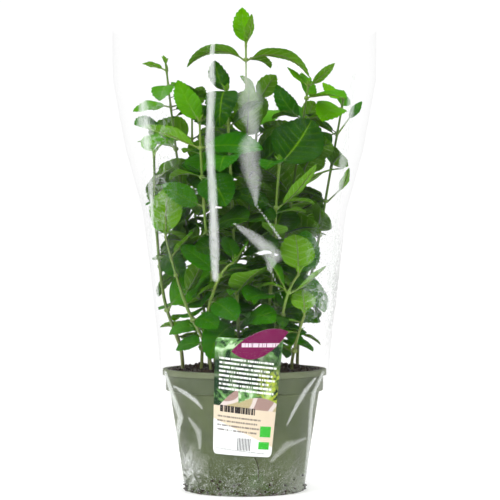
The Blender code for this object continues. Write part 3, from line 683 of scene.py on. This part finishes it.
def along_blade(sections, share):
    """The centre, direction across and normal at a share of the blade's length."""
    k = 0
    while k < len(blade_shares) - 2 and share > blade_shares[k + 1]:
        k += 1
    t = (share - blade_shares[k]) / (blade_shares[k + 1] - blade_shares[k])
    points = [section[0] for section in sections]
    b, c = points[k], points[k + 1]
    span = blade_shares[k + 1] - blade_shares[k]
    low, high = max(k - 1, 0), min(k + 2, len(points) - 1)
    leave = (c - points[low]) / (blade_shares[k + 1] - blade_shares[low]) * span
    arrive = (points[high] - b) / (blade_shares[high] - blade_shares[k]) * span
    centre = (b * (2 * t ** 3 - 3 * t * t + 1) + leave * (t ** 3 - 2 * t * t + t)
              + c * (3 * t * t - 2 * t ** 3) + arrive * (t ** 3 - t * t))
    side = sections[k][1].lerp(sections[k + 1][1], t).normalized()
    normal = sections[k][2].lerp(sections[k + 1][2], t)
    return centre, side, (normal - side * normal.dot(side)).normalized()


def grow_leaf(skin, root, sections, half, fold, stalk, tone, seed, patches=(1, 2)):
    """A leaf: stalk and midrib in one, and a thin toothed blade, puffed up between its side veins."""
    draw = random.Random(seed)
    length = sum((b[0] - a[0]).length for a, b in zip(sections, sections[1:]))
    teeth = max(4, min(12, round(length / 0.0033)))
    veins = max(3, min(7, round(length / 0.0056)))
    rows = teeth * 3
    roundness = max(0.52, min(0.85, 1.02 - 0.42 * half * 2 / length))
    tooth_depth = min(0.00075, half * 0.085)
    puff = min(0.00055, length * 0.016) * draw.uniform(0.6, 1.1)
    wave, phase, other_phase = half * draw.uniform(0.03, 0.08), draw.uniform(0, 6), draw.uniform(0, 6)
    grid_above, grid_below = [], []
    for row in range(rows + 1):
        share = row / rows
        centre, side, normal = along_blade(sections, share)
        ahead = side.cross(normal)
        if ahead.dot(sections[-1][0] - sections[0][0]) < 0:
            ahead = -ahead
        swell = math.sin(math.pi * min(share * 0.985 + 0.006, 1) ** 0.82) ** roundness
        tooth = (0.0, 0.55, 1.0)[row % 3] if 0 < row < rows - 1 else 0.0
        above, below = [], []
        for v in columns:
            out = abs(v)
            width = max(half * swell, stalk * 0.45)
            edge = max(0.0, (out - 0.75) / 0.25) ** 2
            reach = width * out + tooth_depth * tooth * edge
            vein = (share * 1.04 - 0.24 * out * (1 - 0.45 * share)) * veins
            rise = fold * width * (math.sqrt(v * v + 0.02) - 0.141)
            fade = min(1.0, max(0.0, (out - 0.05) / 0.25)) * (1 - out ** 4) * min(1, swell * 1.5)
            rise += puff * (abs(math.sin(math.pi * vein)) ** 0.8 - 0.35) * fade
            turn = phase if v > 0 else other_phase
            rise += wave * math.sin(math.tau * share * 1.8 + turn) * v * v * swell
            push = ahead * (tooth_depth * 0.9 * tooth * edge)
            point = centre + side * (reach if v > 0 else -reach) + normal * rise + push
            thin = blade_thickness * (0.5 - 0.3 * edge)
            reading = (v, vein, tone, share)
            above.append(skin.add(point + normal * thin, reading))
            below.append(skin.add(point - normal * thin, reading))
        grid_above.append(above)
        grid_below.append(below)
    skin.grid(grid_above, patches[0])
    skin.grid([row[::-1] for row in grid_below], patches[1])
    skin.grid([(a[-1], b[-1]) for a, b in zip(grid_above, grid_below)], patches[1])
    skin.grid([(b[0], a[0]) for a, b in zip(grid_above, grid_below)], patches[1])
    for a, b, flip in ((grid_above[0], grid_below[0], 1), (grid_above[-1], grid_below[-1], -1)):
        skin.grid([a[::flip], b[::flip]], patches[1])
    start = sections[0][0]
    inward = (root - start).normalized() if (root - start).length > 1e-5 else -ahead
    line = [root + inward * 0.0009, root, root.lerp(start, 0.5), start]
    radii = [stalk * 0.62, stalk * 0.58, stalk * 0.48, stalk * 0.46]
    for step in range(1, 9):
        share = step / 8 * 0.94
        centre, side, normal = along_blade(sections, share)
        radius = stalk * 0.44 * (1 - share) ** 0.8 + 0.00010
        sink = 0.141 * fold * half
        line.append(centre - normal * (radius * 0.62 + 0.00004) - normal * min(sink * 0.1, 0.0002))
        radii.append(radius)
    tube(skin, line, radii, 7, 3, (0.0, 0.0, tone))


def small_leaf(skin, root, azimuth, rise, droop, length, width, stalk, petiole, tone, seed):
    """A young leaf that is too small for the CAD, arched from its root."""
    sideways = Vector((-math.sin(azimuth), math.cos(azimuth), 0))
    sections, point, total = [], root.copy(), petiole + length
    reach = 0.0
    for share in blade_shares:
        wanted = petiole + length * share
        angle = rise - droop * (reach + wanted) / 2 / total
        level = math.cos(angle)
        ahead = Vector((math.cos(azimuth) * level, math.sin(azimuth) * level, math.sin(angle)))
        point = point + ahead * (wanted - reach)
        reach = wanted
        sections.append((point.copy(), sideways, ahead.cross(sideways) * -1
                         if ahead.cross(sideways).z < 0 else ahead.cross(sideways)))
    grow_leaf(skin, root, sections, width / 2, 0.35, stalk, tone, seed)


stem_skin = Finish("mint_stem")
tone = stem_skin.attribute("tone")
height = stem_skin.height()
streaky = stem_skin.noise(60.0, 3.0)["Fac"]
green = stem_skin.coats(
    paint(58, 92, 18), (tone, paint(124, 158, 52)), (streaky.step(0.45, 0.7) * 0.5, paint(112, 118, 44)))
woody = stem_skin.mix(streaky, paint(96, 88, 40), paint(120, 126, 62))
green = stem_skin.mix((1 - (height + streaky * 0.05).step(0.10, 0.175)) * 0.75, green, woody)
hairs = stem_skin.noise(1500.0, 2.0)["Fac"]
stem_finish = stem_skin.show(stem_skin.principled(
    Base_Color=green, Roughness=0.5, Sheen_Weight=0.15, Normal=stem_skin.bump(hairs, 0.0002, 0.5)))


# ---------------------------------------------------------------- leaves
# Mint leaves in opposite pairs, each pair turned a quarter from the last: soft, quilted between
# the veins, toothed, glossy green above and paler, matt and strongly veined below.
def leaf_finish(name, upper):
    leaf = Finish(name)
    across, vein, tone = (leaf.attribute(name) for name in ("across", "vein", "tone"))
    out = abs(across)
    to_vein = abs(((vein + 0.5) % 1.0) - 0.5)
    side_vein = (1 - to_vein.step(0.02, 0.16)) * (1 - out.step(0.72, 0.98))
    midrib = 1 - out.step(0.015, 0.075)
    net = leaf.add("ShaderNodeTexVoronoi", {"feature": "DISTANCE_TO_EDGE"},
                   {"Vector": leaf.place(), "Scale": 620.0})["Distance"]
    mesh_vein = 1 - net.step(0.0, 0.12)
    blotch = leaf.noise(95.0, 3.0)["Fac"]
    # The tone runs from dark to bright green; its dark end also shows the shade painted into the tone of
    # leaves in the plant's middle.
    if upper:
        green = leaf.coats(
            paint(4, 54, 2), (tone.step(0.0, 0.55), paint(36, 112, 0)),
            (tone.step(0.45, 1.0), paint(106, 180, 0)), (blotch.step(0.35, 0.75) * 0.25, paint(58, 128, 0)))
        veined = midrib.most(side_vein * 0.42).most(mesh_vein * 0.16)
        green = leaf.mix(veined * 0.45, green, paint(128, 184, 24))
        relief = blotch * 0.3 - side_vein * 0.8 - midrib * 0.8 - mesh_vein * 0.25
        rough, depth, through = 0.46 + blotch * 0.14, 0.0003, 0.22
    else:
        green = leaf.coats(
            paint(80, 132, 20), (tone, paint(108, 168, 30)),
            (blotch.step(0.3, 0.8) * 0.25, paint(96, 150, 44)))
        veined = midrib.most(side_vein * 0.75).most(mesh_vein * 0.3)
        green = leaf.mix(veined * 0.5, green, paint(170, 200, 104))
        relief = side_vein + midrib + mesh_vein * 0.35
        rough, depth, through = 0.62 + blotch * 0.1, 0.0004, 0.20
    solid = leaf.principled(Base_Color=green, Roughness=rough, Specular_IOR_Level=0.05,
                            Normal=leaf.bump(relief, depth, 0.7))
    lit_through = leaf.add("ShaderNodeBsdfTranslucent", None, {"Color": (0.36, 0.66, 0.02, 1)})
    return leaf.show(leaf.mixed(through, solid, lit_through))


leaf_upper, leaf_under = leaf_finish("leaf_upper", True), leaf_finish("leaf_under", False)
plant_finishes = [stem_finish, leaf_upper, leaf_under, stem_finish]


def plant_piece(name, skin, slot, node):
    """A piece of the plant from its skin, with its faces turned outwards."""
    raw = skin.mesh(name)
    shape = bmesh.new()
    shape.from_mesh(raw)
    bmesh.ops.recalc_face_normals(shape, faces=shape.faces)
    shape.to_mesh(raw)
    shape.free()
    raw.set_sharp_from_angle(angle=math.radians(70))
    return new_piece(name, raw, plant_finishes, slot, [node])


def tone_at(share, draw):
    """Young leaves near the tip are brightest, those half way down darkest, the lowest pale again."""
    base = 0.30 + 0.55 * max(0.0, share - 0.55) / 0.45 + 0.30 * max(0.0, 0.4 - share) / 0.4
    return min(1.0, max(0.0, base + draw.uniform(-0.22, 0.22)))


# Places, as (across, height), where shade is painted into the tone of the leaves near them: the plant's
# large leaves stand in each other's shade there.
painted_shade_places = ((-0.0135, 0.290), (-0.0135, 0.270), (0.0355, 0.252), (-0.005, 0.212), (0.030, 0.196))


def darken_in_painted_shade(tone, place):
    """A leaf's tone with painted shade: darker where the leaf stands among the large ones in the plant's
    middle.
    """
    nearest = min(math.hypot(place.x - x, place.z - z) for x, z in painted_shade_places)
    return min(1.0, max(0.0, tone - 0.95 * math.exp(-(nearest / 0.022) ** 2)))


def share_along(line, point):
    """How far up a stem the place nearest to a point lies, and the stem's direction there."""
    k = min(range(len(line)), key=lambda i: (line[i] - point).length)
    ahead = (line[min(k + 1, len(line) - 1)] - line[max(k - 1, 0)]).normalized()
    return k / (len(line) - 1), ahead


# Small leaves also grow from the stems, where they stay inside the film.
side_leaves, first_share, share_span = 16, 0.16, 0.68
low_level, least_level, side_stalk, side_petiole = 0.165, 0.098, 0.0007, 0.0045
stem_sides_round, node_swelling, node_reach = 16, 0.30, 0.0016
fine_lines = {}
for number, node in enumerate(stem_names):
    draw = random.Random(100 + number)
    skin = Skin()
    line = curve_through(stem_lines[node], 5)
    fine_lines[node] = line
    corners = stem_sides[node]
    nodes_at = [sum(rings[0], Vector()) / 4 for rings, tip in stem_leaves[node]]
    radii = []
    for k, point in enumerate(line):
        a, b = corners[min(k // 5, len(corners) - 1)][1], corners[min(k // 5 + 1, len(corners) - 1)][1]
        near_node = max(min([(point - p).length - b for p in nodes_at] + [1.0]), 0)
        swelling = 1 + node_swelling * math.exp(-(near_node / node_reach) ** 2)
        radii.append((a + (b - a) * (k % 5) / 5) * swelling)
    tube(skin, line, radii, stem_sides_round, 0, (0.0, 0.0, draw.uniform(0.2, 0.7)), 4.5, corners[0][0])
    for count, (rings, tip) in enumerate(stem_leaves[node]):
        root = sum(rings[0], Vector()) / 4
        sections, half, fold = leaf_frame(rings, tip)
        stalk = (rings[1][0] - rings[1][2]).length
        share, ahead = share_along(line, root)
        tone_with_painted_shade = darken_in_painted_shade(tone_at(share, draw), sections[2][0])
        grow_leaf(skin, root, sections, half, fold, stalk, tone_with_painted_shade, number * 100 + count)
    for count in range(side_leaves):
        share = first_share + share_span * (count + draw.uniform(0.1, 0.9)) / side_leaves
        k = int(share * (len(line) - 1))
        low = line[k].z < low_level
        azimuth = draw.uniform(0, math.tau) if low else draw.uniform(-0.2, math.pi + 0.2)
        length = draw.uniform(0.011, 0.019) if low else draw.uniform(0.016, 0.029)
        blade_end = line[k] + Vector((math.cos(azimuth), math.sin(azimuth), 0)) * (length * 0.9 + 0.005)
        free = 0.049 + 0.10 * (line[k].z - 0.09)
        if math.hypot(blade_end.x, blade_end.y) < free and line[k].z > least_level:
            side_tone = draw.uniform(0.35, 0.95) if low and line[k].y < 0.01 else draw.uniform(0.0, 0.35)
            small_leaf(skin, line[k], azimuth, draw.uniform(0.2, 0.8), draw.uniform(0.5, 1.3), length,
                       length * draw.uniform(0.58, 0.74), side_stalk, side_petiole, side_tone,
                       number * 100 + 30 + count)
    top, ahead = line[-1], (line[-1] - line[-4]).normalized()
    turn = draw.uniform(0, math.tau)
    for count in range(4):
        azimuth = turn + count * math.pi / 2
        length = (0.0062, 0.0042)[count // 2] * draw.uniform(0.85, 1.15)
        small_leaf(skin, top - ahead * 0.0006, azimuth, 1.15 + 0.1 * (count // 2), 0.25, length,
                   length * 0.5, 0.0005, 0.0006, 0.95, number * 100 + 60 + count)
    plant_piece("shoot_" + node[5:], skin, "mint_stem", node)

for number, node in enumerate(sorted(n for n in frame["nodes"] if n.startswith("leaf_pair_"))):
    draw = random.Random(900 + number)
    skin = Skin()
    places, near = welded(node)
    leaves = leaves_in(places, near)
    blades = set()
    for rings, tip in leaves:
        blades |= {tip}.union(*rings[1:])
    collar = [places[p] for p in range(len(places)) if p not in blades]
    middle = sum(collar, Vector()) / len(collar)
    line = fine_lines["stem_" + node[len("leaf_pair_"):-2]]
    share, ahead = share_along(line, middle)
    reach = sum(((p - middle) - ahead * (p - middle).dot(ahead)).length for p in collar) / len(collar)
    tone = tone_at(share, draw)
    bulge = [middle + ahead * 0.0014 * step for step in (-1, -0.7, -0.25, 0.25, 0.7, 1)]
    tube(skin, bulge, [reach * s * 0.80 for s in (0.80, 1.02, 1.16, 1.16, 1.02, 0.80)], 16, 0,
         (0.0, 0.0, tone), 3.0)
    for count, (rings, tip) in enumerate(leaves):
        root = sum(([places[p] for p in rings[0]]), Vector()) / 4
        spots = [[places[p] for p in ring] for ring in rings]
        sections, half, fold = leaf_frame(spots, places[tip])
        stalk = (spots[1][0] - spots[1][2]).length
        tone_with_painted_shade = darken_in_painted_shade(tone + draw.uniform(-0.1, 0.1), sections[2][0])
        grow_leaf(skin, root, sections, half, fold, stalk, tone_with_painted_shade, 5000 + number * 10 + count)
    plant_piece("pair" + node[len("leaf_pair"):], skin, "mint_leaf", node)


# ---------------------------------------------------------------- film sleeve
# A clear film sleeve, open at both ends, welded along its two sides and punched with vents. It
# hangs from the foliage and clings to the pot, with long soft folds and some crumpling.
film_thickness = 0.00012
film_points = []
for node in ("sleeve_front", "sleeve_back"):
    film_points += [vertex.co.copy() for vertex in frame["nodes"][node].data.vertices]
film_high = max(point.z for point in film_points)
arch = 0.002
seam_levels = sorted({round(point.z, 3) for point in film_points if abs(point.y) < 0.001})
film_stations = []
for level in seam_levels:
    reach = arch + 0.0006 if level == seam_levels[-1] else 0.0006
    ring = [point for point in film_points if -0.0006 < point.z - level < reach]
    film_stations.append((level, max(abs(p.x) for p in ring), -min(p.y for p in ring),
                          max(p.y for p in ring)))


def film_radius(azimuth, height):
    """The oval that the film follows at a height, deeper in front where the card lies."""
    heights = [station[0] for station in film_stations]
    width, ahead, behind = (float(np.interp(height, heights, [s[k] for s in film_stations]))
                            for k in (1, 2, 3))
    deep = ahead if math.sin(azimuth) < 0 else behind
    return 1 / math.hypot(math.cos(azimuth) / width, math.sin(azimuth) / deep) - 0.0003


# Each fold: its side (-1 front, 1 back), how white its painted reflection of the lamps shows, how far it
# stands out, and its route as points of (across, height, half width), all in millimetres.
folds_and_painted_streaks = (
    (-1, 0.37, 1, ((-21.5, 322, 1.4), (-22.7, 288, 2.9), (-24, 253, 3), (-22, 218, 3), (-20.6, 179, 3.5),
                   (-19.9, 156, 2.2))),
    (-1, 0.17, 0.8, ((2, 302, 4), (3.8, 288, 7.8), (4.2, 270, 7.6), (6.6, 257, 3.4), (2.4, 247, 7.2),
                     (5.9, 227, 6.4), (8, 213, 2.6), (8, 207, 0.8))),
    (-1, 0.35, 0.9, ((8, 207, 0.7), (15, 198, 0.9), (24.7, 184, 1))),
    (-1, 0.24, 0.8, ((-8, 195, 0.6), (3.8, 187, 3), (14.3, 178, 5.4), (19.9, 172, 5.8), (17.8, 163, 1.8))),
    (-1, 0.25, 0.7, ((17.8, 163, 0.8), (22.5, 152, 0.5), (26.8, 141, 0.5))),
    (-1, 0.31, 0.6, ((-72, 290, 2), (-70.5, 265, 5.5), (-68, 245, 3), (-66, 215, 1.6), (-64.5, 180, 1.4),
                     (-62, 140, 1.2))),
    (-1, 0.28, 0.6, ((76.5, 300, 2), (75, 277, 3.2), (70.7, 246, 3.4), (66.6, 218, 2.8), (64.4, 200, 2.6),
                     (65, 179, 4.4), (61.7, 162, 3.6), (60, 135, 2))),
    (-1, 0.31, 1, ((-51.2, 79, 0.6), (-42.2, 74.5, 1.7), (-33.8, 69, 1.7), (-28.2, 62.3, 0.5))),
    (-1, 0.28, 1, ((49.8, 84, 0.9), (42.3, 75, 1.9), (34.8, 62, 1.4), (29.2, 50.8, 0.5))),
    (-1, 0.13, 0.7, ((43.9, 41.2, 1.2), (30, 37.5, 2.8), (18.8, 27, 1.4))),
    (-1, 0.35, 1, ((-56.5, 88, 1.2), (-51, 72, 2), (-45, 56, 1.9), (-48, 40, 1.8), (-47, 25, 1.6),
                   (-43, 8, 1.4))),
    (-1, 0.28, 1, ((56, 88, 1.2), (49, 74, 1.8), (47, 60, 1.6), (46, 41, 1.6), (43.5, 12, 1.2))),
    (-1, 0.15, 0.6, ((-39, 56, 1), (-32, 47, 2.4), (-31, 35, 1))),
    (1, 0.28, 1, ((26, 320, 1.4), (24, 265, 2.6), (27.5, 210, 2.4), (25, 155, 1.6))),
    (1, 0.17, 0.8, ((-15, 295, 3), (-12, 250, 6), (-16, 205, 3.4), (-12, 160, 1.2))),
    (1, 0.25, 0.9, ((-45, 80, 0.8), (-33, 68, 1.8), (-24, 54, 0.6))),
    (1, 0.25, 0.9, ((40, 78, 0.8), (28, 62, 1.6), (22, 40, 0.6))),
)


def to_line(x, z, route):
    """Distance from a point to a route in the plane of width and height, over the half width there."""
    least = 9.0
    for (ax, az, a_half), (bx, bz, b_half) in zip(route, route[1:]):
        dx, dz = bx - ax, bz - az
        t = min(1.0, max(0.0, ((x - ax) * dx + (z - az) * dz) / (dx * dx + dz * dz)))
        away = math.hypot(x - ax - t * dx, z - az - t * dz)
        least = min(least, away / (a_half + (b_half - a_half) * t))
    return least


film_columns, film_rows = 300, 170
fold_softness, unfolded = 1.3, 3.0
film_low = min(point.z for point in film_points)
film_shape = bmesh.new()
fold_layer = film_shape.verts.layers.float.new("fold")
# white: how strongly a fold's painted reflection of the lamps shows at each point of the film.
painted_streak_layer = film_shape.verts.layers.float.new("white")
crumple_layer = film_shape.verts.layers.float.new("crumple")
film_grid = []
for row in range(film_rows + 1):
    line = []
    for column in range(film_columns):
        azimuth = column * math.tau / film_columns
        height = film_low + (film_high - arch - film_low) * row / film_rows
        radius = film_radius(azimuth, height)
        x, y = radius * math.cos(azimuth), radius * math.sin(azimuth)
        near, painted_streak_here, lift = unfolded, 0.0, 0.0
        for side, strength, stand, route in folds_and_painted_streaks:
            if side * y > 0:
                ratio = to_line(x * 1000, height * 1000, route)
                lift = max(lift, stand / 1000 * math.exp(-(ratio / fold_softness) ** 2))
                if ratio < near:
                    near, painted_streak_here = ratio, strength
        # Where the film is crumpled: a band on the right, the left edge, the left corner and the foot.
        right = max(0.0, 1 - math.hypot((x - 0.060) / 0.020, (height - 0.150) / 0.055)) if y < 0.02 else 0
        left = max(0.0, 1 - math.hypot((x + 0.062) / 0.016, (height - 0.230) / 0.080)) * 0.5
        corner = max(0.0, 1 - math.hypot((x + 0.040) / 0.016, (height - 0.018) / 0.022)) if y < 0 else 0
        low = max(0.0, 1 - height / 0.030)
        crumple = min(1.0, right * 1.1 + left + corner * 0.9 + low * 0.25 + 0.02)
        spot = Vector((x, y, height * 0.6))
        ripple = noise.fractal(spot * 26, 1.0, 2.0, 3) * 0.0007 + 0.0004
        creases = abs(noise.noise(Vector((x, y, height)) * 95)) * 0.0016 * crumple
        out = max(0.0, ripple) * (0.4 + crumple) + creases + lift
        room = min(1.0, max(0.0, (film_high - height) / 0.02))
        radius += out * (0.25 + 0.75 * room)
        top = height + (arch * math.sin(azimuth) ** 2 if row == film_rows else 0.0)
        vert = film_shape.verts.new((
            max(cad_low.x, min(cad_high.x, radius * math.cos(azimuth))),
            max(cad_low.y, min(cad_high.y, radius * math.sin(azimuth))), top))
        vert[fold_layer], vert[painted_streak_layer], vert[crumple_layer] = near, painted_streak_here, crumple
        line.append(vert)
    film_grid.append(line)
for low_row, high_row in zip(film_grid, film_grid[1:]):
    for k in range(film_columns):
        j = (k + 1) % film_columns
        film_shape.faces.new((low_row[k], low_row[j], high_row[j], high_row[k]))

vent_radius, vent_lean, vent_heights = 0.0028, 50, (0.048, 0.125, 0.2055, 0.286)
for side in (-1, 1):
    for lean in (-vent_lean, vent_lean):
        for height in vent_heights:
            azimuth = math.radians(90 * side + lean)
            outward = Vector((math.cos(azimuth), math.sin(azimuth), 0))
            centre = outward * film_radius(azimuth, height) + Vector((0, 0, height))
            sideways = Vector((-outward.y, outward.x, 0))

            def from_vent(point):
                offset = point - centre
                return Vector((offset.dot(sideways), offset.z)) if offset.dot(outward) > -0.02 else None

            def close(element, reach):
                flat = from_vent(element)
                return flat is not None and flat.length < reach

            edges = [e for e in film_shape.edges
                     if close((e.verts[0].co + e.verts[1].co) / 2, vent_radius * 1.9)]
            bmesh.ops.subdivide_edges(film_shape, edges=edges, cuts=2, use_grid_fill=True)
            doomed = [f for f in film_shape.faces if close(f.calc_center_median(), vent_radius)]
            bmesh.ops.delete(film_shape, geom=doomed, context="FACES")
            for vert in film_shape.verts:
                if vert.is_boundary and close(vert.co, vent_radius * 1.6):
                    flat = from_vent(vert.co)
                    flat = flat * (vent_radius / flat.length)
                    depth = (vert.co - centre).dot(outward)
                    vert.co = centre + outward * depth + sideways * flat.x + Vector((0, 0, flat.y))
film_mesh = smooth_mesh(film_shape, "film_sleeve")

# The white streaks along the film's folds are painted reflections of the softboxes; white crease lines,
# crumpled patches and condensation drops whiten it too, all through one milky white shader.
film = Finish("clear_film")
fold, strength, crumple = (film.attribute(name) for name in ("fold", "white", "crumple"))
wisps = film.noise(70.0, 3.0, Distortion=0.8)["Fac"]
ragged = fold + (wisps - 0.5) * 0.7
painted_streak_core = (1 - ragged.step(0.20, 0.75)) * wisps.step(0.30, 0.65)
painted_streak = ((1 - ragged.step(0.55, 1.25)) * 0.65 + painted_streak_core * 0.45) * strength
ridged = abs(film.noise(75.0, 2.0, Distortion=0.5)["Fac"] - 0.5) * 2
crease = (1 - ridged.step(0.0, 0.10)) * crumple
fine_ridged = abs(film.noise(210.0, 2.0)["Fac"] - 0.5) * 2
fine = (1 - fine_ridged.step(0.0, 0.12)) * crumple.step(0.35, 0.9)
patch = film.noise(34.0, 1.0)["Fac"].step(0.50, 0.70) * crumple
height = film.height()
damp = crumple * 1.2 + (1 - height.step(0.01, 0.05)) * 0.25
drops = film.noise(900.0, 1.0)["Fac"].step(0.60, 0.70) * damp
painted_streaks_and_haze = (painted_streak + crease * 0.24 + fine * 0.12 + patch * 0.16 + drops * 0.4 + 0.001).least(0.8)
clear = film.add("ShaderNodeBsdfTransparent", None, {"Color": white})
gloss = film.add("ShaderNodeBsdfGlossy", None, {"Color": white, "Roughness": 0.09})
facing = film.add("ShaderNodeLayerWeight", None, {"Blend": 0.5})["Facing"]
sheen = film.mixed(facing ** 3.0 * 0.09 + crumple * 0.01 + 0.001, clear, gloss)
# The white that shows the painted fold reflections, the crease lines and the condensation.
haze_and_painted_streak_white = film.principled(Base_Color=(0.92, 0.95, 0.93, 1), Roughness=0.25, Specular_IOR_Level=0.6)
film_piece = new_piece("film_sleeve", film_mesh, [film.show(film.mixed(painted_streaks_and_haze, sheen, haze_and_painted_streak_white))],
                       "clear_film", ["sleeve_front", "sleeve_back"])
thicken = film_piece.modifiers.new("thickness", "SOLIDIFY")
thicken.thickness, thicken.offset = film_thickness, 1


# ---------------------------------------------------------------- spilt peat and stray root
# Crumbs of peat that fell between the pot and the film and lie round the pot's foot, and one dark
# root, thin as a thread, that hangs there down the pot's wall.
spilt = []
for number in range(170):
    azimuth = peat_random.choice((peat_random.uniform(3.3, 6.1), peat_random.uniform(0, math.tau)))
    climb = peat_random.random() ** 3 * 0.012
    size = peat_random.uniform(0.0003, 0.0011)
    radius = wall_radius(climb) + size * 0.9
    spilt.append((Vector((radius * math.cos(azimuth), radius * math.sin(azimuth), climb + size)),
                  size, number * 2.3))
crumbs("spilt_peat", spilt, peat.material, "peat")

root_radius, root_foot, root_reach, root_x = 0.00026, 0.0104, 0.0191, 0.0067
stray_root = Skin()
root_line = []
for step in range(9):
    share = step / 8
    x = root_x + 0.0053 * share + 0.0012 * math.sin(share * 5)
    height = root_foot + root_reach * (1 - share)
    radius = wall_radius(height) + 0.0004
    root_line.append(Vector((x, -math.sqrt(radius * radius - x * x), height)))
tube(stray_root, root_line, [root_radius] * 7 + [0.0002, 0.0001], 6, 0, (0.0, 0.0, 0.0))
new_piece("stray_root", stray_root.mesh("stray_root"), [peat.material], "peat")

bpy.context.view_layer.update()
